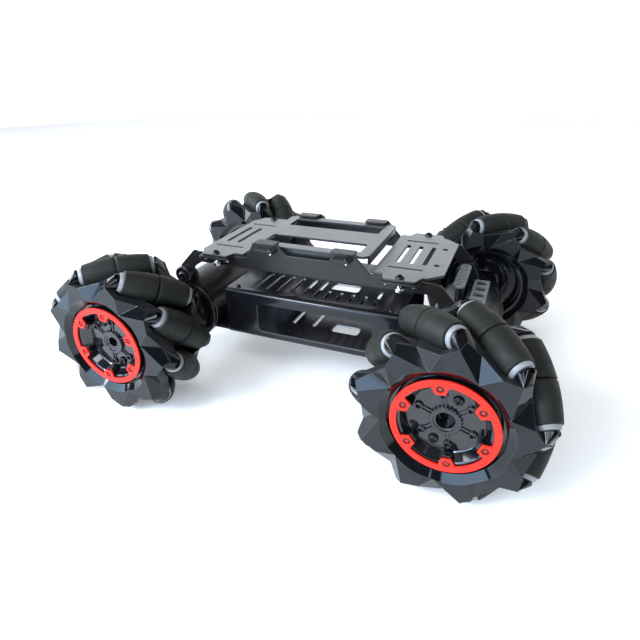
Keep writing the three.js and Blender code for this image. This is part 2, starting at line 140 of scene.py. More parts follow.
# ---- materials ----------------------------------------------------------------------------
def surface(name, color, roughness, metallic, patch, spread, grain, bump, specular=0.5):
    """A finish whose colour and roughness drift over patches, with a fine grain in its relief.

    patch and grain are sizes in millimetres; spread is how far the drift goes either way."""
    material = bpy.data.materials.new(name)
    material.use_nodes = True
    nodes, links = material.node_tree.nodes, material.node_tree.links
    shader = nodes["Principled BSDF"]
    shader.inputs["Metallic"].default_value = metallic
    shader.inputs["Specular IOR Level"].default_value = specular
    place = nodes.new("ShaderNodeTexCoord")

    def noise(size, detail):
        node = nodes.new("ShaderNodeTexNoise")
        node.inputs["Scale"].default_value = 1 / (size * MM)
        node.inputs["Detail"].default_value = detail
        links.new(place.outputs["Object"], node.inputs["Vector"])
        return node.outputs["Fac"]

    drift = noise(patch, 4)
    ramp = nodes.new("ShaderNodeValToRGB")
    ramp.color_ramp.elements[0].position = 0.3
    ramp.color_ramp.elements[1].position = 0.7
    for element, gain in zip(ramp.color_ramp.elements, (1 - spread, 1 + spread)):
        element.color = (*(min(1, c * gain) for c in color), 1)
    links.new(drift, ramp.inputs["Fac"])
    links.new(ramp.outputs["Color"], shader.inputs["Base Color"])
    rough = nodes.new("ShaderNodeMapRange")
    rough.inputs["From Min"].default_value = 0.3
    rough.inputs["From Max"].default_value = 0.7
    rough.inputs["To Min"].default_value = max(0.02, roughness * (1 - spread))
    rough.inputs["To Max"].default_value = min(1, roughness * (1 + spread))
    links.new(noise(patch * 0.35, 6), rough.inputs["Value"])
    links.new(rough.outputs["Result"], shader.inputs["Roughness"])
    relief = nodes.new("ShaderNodeBump")
    relief.inputs["Strength"].default_value = bump
    relief.inputs["Distance"].default_value = 0.1 * MM
    links.new(noise(grain, 3), relief.inputs["Height"])
    links.new(relief.outputs["Normal"], shader.inputs["Normal"])
    return material


DECK = surface("deck_anodised", (0.235, 0.238, 0.24), 0.34, 0.9, 60, 0.08, 0.35, 0.12)
# darker deck colour for faces that stand upright and for rounded edges: painted shade, which also hides their
# highlights
DECK_SIDE_SHADE = surface("deck_side_shade", (0.045, 0.046, 0.05), 0.36, 0.7, 40, 0.12, 0.35, 0.08)
RAIL = surface("rail_black", (0.0205, 0.0182, 0.0165), 0.3, 0.5, 50, 0.14, 0.4, 0.10)
TRAY = surface("tray_black", (0.008, 0.008, 0.011), 0.18, 0.3, 50, 0.16, 0.5, 0.05)
# light grey on the cut walls of the tray's slots and window: a painted highlight, so that their edges read as
# bright lines
TRAY_CUT_HIGHLIGHT = surface("tray_cut_edge_highlight", (0.30, 0.30, 0.33), 0.3, 0.8, 20, 0.1, 0.3, 0.05)
AXLE = surface("axle_black", (0.008, 0.008, 0.009), 0.3, 0.2, 40, 0.15, 0.4, 0.08)
MOTOR = surface("motor_black", (0.007, 0.007, 0.008), 0.24, 0.3, 30, 0.15, 0.4, 0.05)
MATTE = surface("shell_matte", (0.0076, 0.0079, 0.0094), 0.46, 0.0, 30, 0.10, 0.25, 0.2,
                specular=0.35)
GLOSS = surface("shell_gloss", (0.003, 0.0035, 0.0045), 0.07, 0.0, 30, 0.2, 2.0, 0.02,
                specular=0.36)
HUB = surface("hub_gloss", (0.004, 0.0045, 0.006), 0.1, 0.0, 30, 0.2, 2.0, 0.02, specular=0.7)
# lighter, glossier colour on the roundings of the shells: painted highlight lines along the facet edges
EDGE_HIGHLIGHT = surface("shell_edge_highlight", (0.03, 0.031, 0.034), 0.18, 0.0, 12, 0.2, 0.4, 0.05, specular=0.9)
RUBBER = surface("roller_rubber", (0.0102, 0.0106, 0.0084), 0.6, 0.0, 12, 0.18, 0.22, 0.35,
                 specular=0.25)
CORE = surface("roller_core", (0.225, 0.225, 0.23), 0.38, 0.0, 8, 0.06, 0.4, 0.08)
RED = surface("ring_red", (0.75, 0.014, 0.004), 0.4, 0.0, 20, 0.05, 0.3, 0.08, specular=0.3)
STEEL = surface("steel", (0.66, 0.66, 0.68), 0.22, 1.0, 6, 0.12, 0.3, 0.08)
BRASS = surface("brass", (0.75, 0.55, 0.18), 0.25, 1.0, 6, 0.12, 0.3, 0.06)
SCREW = surface("screw_black", (0.012, 0.012, 0.014), 0.2, 0.5, 6, 0.2, 0.3, 0.08)
PORT = surface("port_grey", (0.12, 0.125, 0.13), 0.4, 0.1, 14, 0.08, 0.3, 0.1)


# ---- shapes -------------------------------------------------------------------------------
class Shape:
    """Vertices in millimetres and their faces, each face with a material number."""

    def __init__(self):
        self.verts, self.faces, self.marks = [], [], []

    def add(self, verts, faces, mark=0):
        start = len(self.verts)
        self.verts += [Vector(v) for v in verts]
        self.faces += [[start + i for i in face] for face in faces]
        self.marks += [mark] * len(faces) if isinstance(mark, int) else list(mark)
        return self

    def join(self, other, matrix=None, mark=None):
        verts = other.verts if matrix is None else [matrix @ v for v in other.verts]
        return self.add(verts, other.faces, other.marks if mark is None else mark)

    def mesh(self, name, *materials, smooth=35):
        mesh = bpy.data.meshes.new(name)
        mesh.from_pydata([v * MM for v in self.verts], [], self.faces)
        for material in materials:
            mesh.materials.append(material)
        mesh.polygons.foreach_set("material_index", self.marks)
        mesh.validate()
        mesh.shade_smooth()
        mesh.set_sharp_from_angle(angle=math.radians(smooth))
        return mesh


def turn(degrees, axis="Z"):
    return Matrix.Rotation(math.radians(degrees), 4, axis)


def move(x, y, z):
    return Matrix.Translation((x, y, z))


def polar(degrees, radius, z=0.0):
    a = math.radians(degrees)
    return Vector((radius * math.cos(a), radius * math.sin(a), z))


def lathe(profile, sides=64, marks=None, closed=False):
    """A profile of (radius, height) points about Z. It ends on the axis, or closes on itself."""
    shape, rows = Shape(), []
    for radius, z in profile:
        start = len(shape.verts)
        if radius == 0:
            shape.verts.append(Vector((0, 0, z)))
            rows.append([start] * sides)
        else:
            shape.verts += [polar(i * 360 / sides, radius, z) for i in range(sides)]
            rows.append([start + i for i in range(sides)])
    pairs = list(zip(rows, rows[1:] + rows[:1] if closed else rows[1:]))
    for band, (low, high) in enumerate(pairs):
        for i in range(sides):
            j = (i + 1) % sides
            face = list(dict.fromkeys((low[i], low[j], high[j], high[i])))
            if len(face) > 2:
                shape.faces.append(face)
                shape.marks.append(marks[band] if marks else 0)
    return shape


def prism(points, z0, z1, mark=0):
    """A flat outline, anticlockwise, made solid between two heights."""
    n = len(points)
    verts = [(x, y, z0) for x, y in points] + [(x, y, z1) for x, y in points]
    faces = [list(range(n))[::-1], list(range(n, 2 * n))]
    faces += [[i, (i + 1) % n, n + (i + 1) % n, n + i] for i in range(n)]
    return Shape().add(verts, faces, mark)


def box(x0, x1, y0, y1):
    """A rectangle's corners, anticlockwise."""
    return [(x0, y0), (x1, y0), (x1, y1), (x0, y1)]


def block(x0, x1, y0, y1, z0, z1):
    return prism(box(x0, x1, y0, y1), z0, z1)


def circle(x, y, radius, sides=24):
    angles = (i * math.tau / sides for i in range(sides))
    return [(x + radius * math.cos(a), y + radius * math.sin(a)) for a in angles]


def obround(x0, x1, y0, y1):
    """A slot with round ends along its longer side."""
    radius = min(x1 - x0, y1 - y0) / 2
    return rounded(box(x0, x1, y0, y1), radius * 0.98, 8)


def rounded(points, radius, steps=5):
    """The outline with each corner turned into an arc, smaller where its sides are short."""
    path, n = [], len(points)
    for i in range(n):
        corner = Vector(points[i])
        back = Vector(points[i - 1]) - corner
        ahead = Vector(points[(i + 1) % n]) - corner
        angle = back.angle(ahead)
        reach = min(radius / math.tan(angle / 2), back.length * 0.49, ahead.length * 0.49)
        start, end = corner + back.normalized() * reach, corner + ahead.normalized() * reach
        for s in range(steps + 1):
            t = s / steps
            path.append(tuple(start * (1 - t) ** 2 + corner * 2 * t * (1 - t) + end * t ** 2))
    return path


def settled(holder):
    """The mesh of an object with its modifiers worked in; the object is removed."""
    depsgraph = bpy.context.evaluated_depsgraph_get()
    mesh = bpy.data.meshes.new_from_object(
        holder.evaluated_get(depsgraph), preserve_all_data_layers=True, depsgraph=depsgraph)
    bpy.data.objects.remove(holder)
    return mesh


def holding(data):
    """An object in the scene that holds some data while modifiers work on it."""
    holder = bpy.data.objects.new("holder", data)
    bpy.context.scene.collection.objects.link(holder)
    return holder


def softened(mesh, width, angle, segments, mark=-1):
    """The mesh with its sharp edges rounded off; a mark gives the roundings a material number."""
    holder = holding(mesh)
    bevel = holder.modifiers.new("soft_edges", "BEVEL")
    bevel.width = width * MM
    bevel.segments = segments
    bevel.limit_method = "ANGLE"
    bevel.angle_limit = math.radians(angle)
    bevel.harden_normals = True
    bevel.use_clamp_overlap = True
    bevel.material = mark
    return settled(holder)


def carved(mesh, cutter):
    """The mesh less the cutter's mesh. The cut faces keep the cutter's material number."""
    tool = holding(cutter)
    holder = holding(mesh)
    cut = holder.modifiers.new("cut", "BOOLEAN")
    cut.object = tool
    cut.operation = "DIFFERENCE"
    cut.solver = "EXACT"
    cut.material_mode = "INDEX"
    result = settled(holder)
    bpy.data.objects.remove(tool)
    return result


def sheet_metal(name, outline, holes, z0, z1, material, edge=0.25, cut=None):
    """A flat sheet between two heights, with holes right through it and rounded edges; its upright
    faces and edges may take another material, which is a painted shade darker than the top."""
    curve = bpy.data.curves.new(name, "CURVE")
    curve.dimensions = "2D"
    curve.fill_mode = "BOTH"
    curve.extrude = ((z1 - z0) / 2 - edge) * MM
    curve.bevel_depth = edge * MM
    curve.bevel_resolution = 2
    curve.offset = -edge * MM
    for path in (outline, *holes):
        spline = curve.splines.new("POLY")
        spline.points.add(len(path) - 1)
        for point, (x, y) in zip(spline.points, path):
            point.co = (x * MM, y * MM, 0, 1)
        spline.use_cyclic_u = True
    mesh = settled(holding(curve))
    mesh.transform(move(0, 0, (z0 + z1) / 2 * MM))
    mesh.materials.clear()
    mesh.materials.append(material)
    if cut:
        mesh.materials.append(cut)
        # faces that stand upright take the second material, the painted shade
        for face in mesh.polygons:
            face.material_index = int(abs(face.normal.z) < 0.9)
    mesh.shade_smooth()
    mesh.set_sharp_from_angle(angle=math.radians(35))
    return mesh


def hull(name, points, *materials):
    """The convex solid round some points."""
    cast = bmesh.new()
    for point in points:
        cast.verts.new(Vector(point) * MM)
    bmesh.ops.convex_hull(cast, input=cast.verts)
    spare = [v for v in cast.verts if not v.link_faces]
    bmesh.ops.delete(cast, geom=spare, context="VERTS")
    bmesh.ops.dissolve_limit(cast, angle_limit=math.radians(1), verts=cast.verts, edges=cast.edges)
    mesh = bpy.data.meshes.new(name)
    cast.to_mesh(mesh)
    cast.free()
    for material in materials:
        mesh.materials.append(material)
    return mesh


def fused(name, *meshes, smooth=32):
    """Several meshes as one, with their materials; edges steeper than an angle stay sharp."""
    joined = bpy.data.meshes.new(name)
    verts, faces, marks = [], [], []
    for mesh in meshes:
        start = len(verts)
        verts += [v.co[:] for v in mesh.vertices]
        slots = []
        for material in mesh.materials:
            if material.name not in joined.materials:
                joined.materials.append(material)
            slots.append(joined.materials.find(material.name))
        faces += [[start + i for i in p.vertices] for p in mesh.polygons]
        marks += [slots[min(p.material_index, len(slots) - 1)] for p in mesh.polygons]
    joined.from_pydata(verts, [], faces)
    joined.polygons.foreach_set("material_index", marks)
    joined.shade_smooth()
    joined.set_sharp_from_angle(angle=math.radians(smooth))
    return joined


def piece(name, mesh, body, slot, matrix=None, replaces=()):
    """A new piece in its place, riding on a body."""
    if matrix is not None:
        mesh = mesh.copy()
        mesh.transform(matrix)
    obj = bpy.data.objects.new(name, mesh)
    bpy.context.scene.collection.objects.link(obj)
    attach(obj, body)
    if replaces:
        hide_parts(*replaces)
    return obj


def metres(matrix):
    """A placement in millimetres as one in metres."""
    scaled = matrix.copy()
    scaled.translation *= MM
    return scaled


def placed(mesh, matrix):
    """A copy of a mesh, moved by a placement in millimetres."""
    copy = mesh.copy()
    copy.transform(metres(matrix))
    return copy


# ---- wheel --------------------------------------------------------------------------------
def roller_radius(s):
    """Radius of a roller at a distance from its middle, so that all nine make one drum."""
    return WHEEL_R - math.hypot(ROLLER_AXIS_R, s * math.sin(math.radians(ROLLER_TILT)))


def roller_place(k):
    """Placement in the wheel of roller k, counted from nought, with its axis on local Z."""
    return turn(k * PITCH) @ move(ROLLER_AXIS_R, 0, 0) @ turn(ROLLER_TILT, "X")


def clearances():
    """The space that the nine rollers sweep, as one cutter."""
    half = ROLLER_HALF + ROLLER_GAP
    stations = [half * t for t in (-1, -0.75, -0.5, -0.25, 0, 0.25, 0.5, 0.75, 1)]
    profile = [(0, -half), *((roller_radius(s) + ROLLER_GAP, s) for s in stations), (0, half)]
    tool, cutter = lathe(profile, 48), Shape()
    for k in range(ROLLERS):
        cutter.join(tool, roller_place(k), 1)
    return cutter.mesh("clearances")


def star():
    """The nine-pointed moulding of a shell, solid: glossy kites, falls and rim, matte faces."""
    shape, matte, gloss = Shape(), 0, 1
    crest = LIP_STEPS // 2
    for k in range(ROLLERS):
        lobe = -LOBE_LEAD + k * PITCH
        at = lambda point, turn_on=0: polar(lobe + point[0] + turn_on, point[1], point[2])
        lip = []
        for i in range(LIP_STEPS + 1):
            swell = math.sin(math.pi * i / LIP_STEPS)
            lip.append((VALLEY[0] + PITCH * i / LIP_STEPS, VALLEY[1] + LIP_RISE * swell,
                        VALLEY[2] - LIP_DIP * swell))
        tip, shoulder = at(TIP), at(SHOULDER)
        edge = [at(FLOOR), at(PEAK), tip, shoulder, at(FLOOR, PITCH)]
        rim = [at(p) for p in lip]
        shape.add([rim[0], *edge[:3]], [[0, 1, 2, 3]], gloss)
        for i in range(crest):
            shape.add([rim[i], tip, rim[i + 1]], [[0, 1, 2]], gloss if i < KITE_STEPS else matte)
        shape.add([rim[crest], tip, shoulder], [[0, 1, 2]], matte)
        for i in range(crest, LIP_STEPS):
            falls = i >= LIP_STEPS - FALL_STEPS
            shape.add([rim[i], shoulder, rim[i + 1]], [[0, 1, 2]], gloss if falls else matte)
        shape.add([rim[-1], shoulder, edge[-1]], [[0, 1, 2]], gloss)
        low = [Vector((p.x, p.y, BACK_Z)) for p in edge]
        for i in range(len(edge) - 1):
            shape.add([edge[i], low[i], low[i + 1], edge[i + 1]], [[0, 1, 2, 3]], matte)
        groove = [polar(lobe + p[0], RIM_R, GROOVE_Z) for p in lip]
        under = [polar(lobe + p[0], RIM_R, BACK_Z) for p in lip]
        for i in range(LIP_STEPS):
            shape.add([groove[i], rim[i], rim[i + 1], groove[i + 1]], [[0, 1, 2, 3]], gloss)
            shape.add([under[i], groove[i], groove[i + 1], under[i + 1]], [[0, 1, 2, 3]], gloss)
        shape.add(low + under[::-1], [list(range(len(low) + len(under)))], matte)
    return welded(shape)


def welded(shape, reach=0.001):
    """The same shape with vertices at one place joined."""
    seen, index = {}, []
    result = Shape()
    for v in shape.verts:
        key = tuple(round(c / reach) for c in v)
        if key not in seen:
            seen[key] = len(result.verts)
            result.verts.append(v)
        index.append(seen[key])
    result.faces = [[index[i] for i in face] for face in shape.faces]
    result.marks = list(shape.marks)
    return result


def lobe_end():
    """End of a lobe, drawn from a round seat over a roller's pin to the lobe's face; a slot in
    its outer side shows the pin."""
    start, sides = ROLLER_HALF + 0.15, 40
    back = roller_place(0).inverted()
    points = [polar(i * 360 / sides, r, z) for i in range(sides)
              for r, z in ((SEAT_R - 0.3, start), (SEAT_R, start + 0.3), (SEAT_R, start + 1.5))]
    points += [back @ polar(p[0] - LOBE_LEAD, p[1] - 0.3, p[2] - 0.3) for p in (FLOOR, PEAK, TIP)]
    slot = block(1, SEAT_R + 1, -1.5, 1.5, start + 0.7, start + 2.5)
    return carved(hull("lobe_end", points, GLOSS, EDGE_HIGHLIGHT), slot.mesh("slot"))


def seats(side):
    """The nine caps at one end of the rollers; side is +1 for the outer end."""
    cap, over = lobe_end(), side_turn(side)
    copies = [placed(cap, roller_place(k) @ over) for k in range(ROLLERS)]
    # the caps' roundings take the second material: painted highlight lines
    return softened(fused("seats", *copies), 0.25, 40, 2, 1)


def pins():
    """Brass pins, one through each roller, whose ends show in the seats."""
    half, blunt = ROLLER_HALF + 3, PIN_R - 0.2
    pin = lathe([(0, -half), (blunt, -half), (PIN_R, -half + 0.3), (PIN_R, half - 0.3),
                 (blunt, half), (0, half)], 16)
    shape = Shape()
    for k in range(ROLLERS):
        shape.join(pin, roller_place(k))
    return shape


def outer_core(hexagonal):
    """Barrel and dished hub of the outer shell."""
    seat, groove = RING_Z[0] - 0.3, RING_Z[0] - 3.5
    profile = [(CORE_R, 0.2), (CORE_R, groove), (24.3, groove), (24.2, seat), (20.8, seat),
               (20.2, seat - 0.5),
               (HUB_R + 0.4, HUB_FACE + 0.5), (HUB_R - 0.2, HUB_FACE), (BOSS_R + 0.3, HUB_FACE),
               (BOSS_R, HUB_FACE + 0.3), (BOSS_R, BOSS_FACE), (5.6, BOSS_FACE),
               (5.5, BOSS_FACE - 0.5), (BORE_R + 0.3, BOSS_FACE - 0.5), (BORE_R, BOSS_FACE - 0.8),
               (BORE_R, 11), (0, 11), (0, 1), (9, 1), (9, 11.5), (CORE_IN, 11.5),
               (CORE_IN, 0.2)]
    marks = [0, 1, 1, 1] + [1] * 12 + [0] * 6
    shape = lathe(profile, 96, marks, closed=True)
    if hexagonal:
        hexagon = lathe([(3.4, 10.8), (3.4, 16.2), (5.2, 16.2), (5.2, 10.8)], 6, closed=True)
        shape.join(hexagon, mark=1)
    return shape


def tab_turn(i):
    """Turn that brings local X to tab i of the trim ring."""
    return turn(TAB_LEAD + i * 360 / TABS)


def hub_details():
    """Serrated boss ring, six small bosses on double ribs, and posts below the ring's tabs."""
    shape = Shape()
    for i in range(24):
        tooth = block(BOSS_R - 0.3, BOSS_R + 0.6, -0.5, 0.5, HUB_FACE - 0.5, BOSS_FACE - 0.1)
        shape.join(tooth, turn(i * 15))
    collar = [(5.7, HUB_FACE), (7.2, HUB_FACE), (7.2, 16.6), (5.7, 16.6)]
    shape.join(lathe(collar, 48, closed=True))
    boss = lathe([(0, 15), (2.1, 15), (2.1, 16.5), (1.9, 16.9), (1.3, 16.9), (1.2, 15.4),
                  (0, 15.4)], 24)
    for i in range(TABS):
        place = tab_turn(i)
        shape.join(boss, place @ move(13.5, 0, 0))
        for y in (-0.95, 0.95):
            shape.join(block(BOSS_R + 0.2, 12.4, y - 0.28, y + 0.28, 15, 16.3), place)
        post = [(16.2, -1.7), (21.6, -3.2), (21.6, 3.2), (16.2, 1.7)]
        shape.join(prism(post, 14.5, RING_Z[0] - 0.05), place)
        lug = [(16.4, -2.1), (18.4, -2.1), (18.4, 2.1), (16.4, 2.1)]
        shape.join(prism(lug, 14.5, RING_Z[0] - 1.2), place)
    return softened(shape.mesh("hub_details", HUB), 0.14, 28, 2)


def cross_screw(radius, height):
    """A pan head with a cross recess, standing on z = 0."""
    head = lathe([(0, -0.4), (radius, -0.4), (radius, height * 0.35),
                  (radius * 0.86, height * 0.75), (radius * 0.55, height * 0.97), (0, height)], 24)
    arm, width = radius * 0.62, radius * 0.13
    slot = block(-arm, arm, -width, width, height * 0.35, height + 1)
    other = block(-arm, arm, -width, width, height * 0.36, height + 1.1)
    cut = carved(head.mesh("head", SCREW), slot.mesh("slot"))
    return carved(cut, Shape().join(other, turn(90)).mesh("slot"))


def socket_screw(radius, height, material):
    """A button head with a hexagonal socket, standing on z = 0."""
    rise = [(radius * math.cos(a), height * math.sin(a)) for a in (0.0, 0.35, 0.7, 1.05)]
    socket = radius * 0.45
    profile = [(0, -0.4), (radius, -0.4), *rise, (socket + 0.15, height), (socket, height - 0.15),
               (socket * 0.96, height * 0.35), (0, height * 0.3)]
    return lathe(profile, 24).mesh("socket_screw", material)


def nut(radius, height, hole):
    profile = [(hole, 0), (radius, 0), (radius, height), (hole, height)]
    return lathe(profile, 6, closed=True)


def trim_ring():
    """Flat ring with six dovetail tabs, each with a round hole."""
    outline = circle(0, 0, RING_OUTER, 144)
    root, tip, steps = 10.5, 7.5, 8
    gap = 360 / TABS - 2 * root
    inside, holes = [], []
    for i in range(TABS):
        a = TAB_LEAD + i * 360 / TABS
        inside += [polar(a - root, RING_INNER), polar(a - tip, TAB_TIP), polar(a + tip, TAB_TIP),
                   polar(a + root, RING_INNER)]
        inside += [polar(a + root + t * gap / steps, RING_INNER) for t in range(1, steps)]
        centre = polar(a, TAB_PIN_R)
        holes.append(circle(centre.x, centre.y, 1.8, 20))
    inside = [(p.x, p.y) for p in inside]
    return sheet_metal("trim_ring", outline, [inside, *holes], *RING_Z, RED, 0.18)


def ring_screws():
    """The pins in the trim ring's tabs: a dark countersink round a red middle."""
    dark = lathe([(0, 20.6), (1.95, 20.6), (1.9, 21.4), (0, 21.4)], 20)
    red = lathe([(0, 21.3), (0.75, 21.3), (0.7, 21.75), (0.5, 21.9), (0, 21.9)], 20)
    shape = Shape()
    for i in range(TABS):
        place = tab_turn(i) @ move(TAB_PIN_R, 0, 0)
        shape.join(dark, place, 0)
        shape.join(red, place, 1)
    return shape.mesh("ring_screws", AXLE, RED)


def inner_core():
    """Barrel and deep dish of the inner shell."""
    profile = [(3.4, -1), (3.4, -13), (8.6, -13), (9, -12.6), (9, -10), (15, -10), (15.5, -10.5),
               (16.5, -10.5), (17, -10), (21, -10), (21.8, -10.8), (23, -15.5), (24, -15.5),
               (24.5, -20.6), (27.5, -20.6), (CORE_R, -19), (CORE_R, -0.2), (CORE_IN, -0.2),
               (CORE_IN, -7), (9, -7), (9, -1)]
    return lathe(profile, 96, [1] * 14 + [0] * 7, closed=True)


def roller_rubber():
    """Two rubber sleeves, one each side of a roller's middle."""
    soft, steps = 0.5, 12
    middle, end = roller_radius(SEAM_HALF), roller_radius(RUBBER_END)
    profile = [(RUBBER_BORE, SEAM_HALF), (middle - soft, SEAM_HALF),
               (middle - 0.2, SEAM_HALF + 0.35)]
    for i in range(steps + 1):
        s = SEAM_HALF + soft + (RUBBER_END - soft - 0.35 - SEAM_HALF) * i / steps
        profile.append((roller_radius(s) - RUBBER_INSET, s))
    profile += [(end - 0.35, RUBBER_END - 0.2), (end - 0.9, RUBBER_END),
                (RUBBER_BORE, RUBBER_END)]
    half = lathe(profile, 48, closed=True)
    shape = Shape().join(half)
    shape.join(half, turn(180, "X"))
    return shape.mesh("roller_rubber", RUBBER, smooth=50)


def roller_core():
    """Core of a roller, with a collar that shows at each end."""
    end = ROLLER_HALF
    half = [(0, end), (2.4, end), (2.6, end - 0.5), (3.6, end - 0.5), (3.8, end), (5.0, end - 0.1),
            (5.7, end - 0.8), (5.9, RUBBER_END - 0.3), (5.4, RUBBER_END - 1)]
    profile = half + [(r, -s) for r, s in reversed(half)]
    return lathe(profile, 40).mesh("roller_core", CORE, smooth=40)


def mirrored(mesh):
    """The mesh of a wheel of the other hand."""
    copy = mesh.copy()
    copy.transform(Matrix.Diagonal((1, -1, 1, 1)))
    copy.flip_normals()
    return copy


def side_turn(side):
    """No turn for the outer side of a wheel, and half a turn about local X for the inner."""
    return Matrix.Identity(4) if side > 0 else turn(180, "X")


def shell(name, core, side):
    """A half shell: core and star, carved by the rollers, with soft edges."""
    body = Shape().join(star(), side_turn(side)).mesh(name, MATTE, GLOSS, EDGE_HIGHLIGHT)
    # the roundings take the third material: painted highlight lines along the facet edges
    cut = softened(carved(body, clearances()), 0.25, 24, 2, 2)
    barrel = softened(core.mesh(name, MATTE, HUB), 0.2, 24, 2)
    return fused(name, cut, barrel, smooth=8.5)


def wheel_parts():
    """The pieces of a wheel of hand +1, by name, each with its mesh and its material slot."""
    screw = cross_screw(2.5, 1.5)
    hub_screws = [placed(screw, turn(TAB_LEAD + angle) @ move(HUB_SCREW_R, 0, HUB_FACE))
                  for angle in HUB_SCREWS]
    return {
        "outer_shell_round": (shell("outer_shell", outer_core(False), 1), "shell_plastic"),
        "outer_shell_hex": (shell("outer_shell_hex", outer_core(True), 1), "shell_plastic"),
        "inner_shell": (shell("inner_shell", inner_core(), -1), "shell_plastic"),
        "trim_ring": (trim_ring(), "red_plastic"),
        "ring_screws": (ring_screws(), "rail_metal"),
        "outer_seats": (seats(1), "shell_plastic"),
        "inner_seats": (seats(-1), "shell_plastic"),
        "pins": (pins().mesh("pins", BRASS), "deck_metal"),
        "hub_details": (hub_details(), "shell_plastic"),
        "hub_screws": (fused("hub_screws", *hub_screws), "rail_metal"),
    }


def wheel_place(corner):
    """(placement, hand) of a wheel, from its joint and those of its first roller."""
    centre = Vector(JOINTS[f"{corner}_wheel_spin"]["pos_m"])
    roller = JOINTS[f"{corner}_roller_1_spin"]
    outward = Vector((0, math.copysign(1, centre.y), 0))
    up = Vector((0, 0, 1))
    across = up.cross(outward)
    arm = Vector(roller["pos_m"]) - centre
    phase = math.atan2(arm.dot(up), arm.dot(across))
    axis = Vector(roller["axis"])
    tangent = outward.cross(arm).normalized()
    hand = 1 if axis.dot(tangent) * axis.dot(outward) < 0 else -1
    basis = Matrix((across, up, outward)).transposed().to_4x4()
    return Matrix.Translation(centre) @ basis @ Matrix.Rotation(phase, 4, "Z"), hand


def make_wheels():
    """The four wheels. The rear ones have a hexagonal socket in the hub, the front ones don't."""
    parts = wheel_parts()
    hands = {1: parts, -1: {name: (mirrored(mesh), slot) for name, (mesh, slot) in parts.items()}}
    rubber, core = roller_rubber(), roller_core()
    for corner in CORNERS:
        place, hand = wheel_place(corner)
        body = f"{corner}_wheel"
        skip = "outer_shell_round" if corner.startswith("rear") else "outer_shell_hex"
        for name, (mesh, slot) in hands[hand].items():
            if name == skip:
                continue
            plain = name.replace("_round", "").replace("_hex", "")
            node = f"{corner}_{plain}"
            replaced = (node,) if node in frame["nodes"] else ()
            piece(f"{corner}_wheel_{plain}", mesh, body, slot, place, replaced)
        for k in range(1, ROLLERS + 1):
            lean = Matrix.Rotation(math.radians(hand * ROLLER_TILT), 4, "X")
            spot = place @ turn((k - 1) * PITCH) @ metres(move(ROLLER_AXIS_R, 0, 0)) @ lean
            node = f"{corner}_roller_{k}"
            ride_on = f"{node}_body"
            piece(f"{node}_rubber", rubber, ride_on, "rubber", spot, (node,))
            piece(f"{node}_core", core, ride_on, "rubber", spot)


# ---- chassis ------------------------------------------------------------------------------
def low_high(node):
    """The lowest and highest corners of a CAD node, in millimetres."""
    low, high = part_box(node)
    return low / MM, high / MM


def mirror_y(points):
    """Half an outline and its mirror image across the XZ plane."""
    return [*points, *((x, -y) for x, y in reversed(points))]


def upright_sheet(name, outline, y0, y1, material, edge):
    """A sheet that stands in the XZ plane between two Y values."""
    mesh = sheet_metal(name, outline, [], -y1, -y0, material, edge)
    mesh.transform(turn(90, "X"))
    return mesh


def strip(name, x0, x1, y0, y1, z0, z1, material, radius=1.2):
    """A small flat sheet with rounded corners."""
    return sheet_metal(name, rounded(box(x0, x1, y0, y1), radius), [], z0, z1, material, 0.2)


def end_plate(name, side, corner, slot_rows, holes):
    """End plate of the deck, with ears over the rail flanges, slots and thin side slots."""
    low, high = low_high(name)
    end = max(abs(low.x), abs(high.x))
    start = min(abs(low.x), abs(high.x))
    ear, body = high.y, 35.5
    half = [(start, body), (start + 6, body), (start + 8.5, ear), (start + 26.5, ear),
            (start + 29, body), (end - corner, body), (end, body - corner)]
    outline = mirror_y([(side * x, -y) for x, y in half])
    cuts = [obround(side * x - 1.25, side * x + 1.25, -16, 16) for x in slot_rows]
    x0, x1 = sorted((side * 48.5, side * 69))
    cuts += [obround(x0, x1, y - 0.85, y + 0.85) for y in (-24.5, 24.5)]
    cuts += [circle(x, y, 1.6) for x, y in holes]
    # the upright faces and edges take the darker deck colour: a painted shade
    mesh = sheet_metal(name, rounded(outline, 1.4), cuts, low.z, high.z, DECK, cut=DECK_SIDE_SHADE)
    piece(f"{name}_sheet", mesh, "chassis", "deck_metal", replaces=(name,))


def raised_plate():
    """Raised middle plate: two long slots, a lip turned down at each end, a skirt at each side."""
    node = "raised_middle_plate"
    low, high = low_high(node)
    end, edge = high.x, high.y
    outline = mirror_y([(-end, -edge + 2.7), (-end + 2.5, -edge), (end - 2.5, -edge),
                        (end, -edge + 2.7)])
    cuts = []
    for side in (-1, 1):
        cuts.append(rounded(box(-32, 32, *sorted((side * 11, side * 25.6))), 1.5))
        cuts += [circle(x, side * 29.3, 1.1, 16) for x in (-27, 27)]
    top = sheet_metal(node, rounded(outline, 1), cuts, high.z - SHEET, high.z, DECK, cut=DECK_SIDE_SHADE)
    # the lips and skirts are all of the darker deck colour: painted shade on faces that stand upright
    lips = []
    for x in (-end, end - SHEET):
        lip = block(x, x + SHEET, -29, 29, low.z, high.z - 0.4)
        lips.append(softened(lip.mesh("lip", DECK_SIDE_SHADE), 0.5, 30, 3))
    for y in (-edge, edge - SHEET):
        skirt = block(*SKIRT, y, y + SHEET, high.z - 5.5, high.z - 0.5)
        lips.append(softened(skirt.mesh("skirt", DECK_SIDE_SHADE), 0.3, 30, 2))
    piece("raised_plate_sheet", fused(node, top, *lips), "chassis", "deck_metal", replaces=(node,))


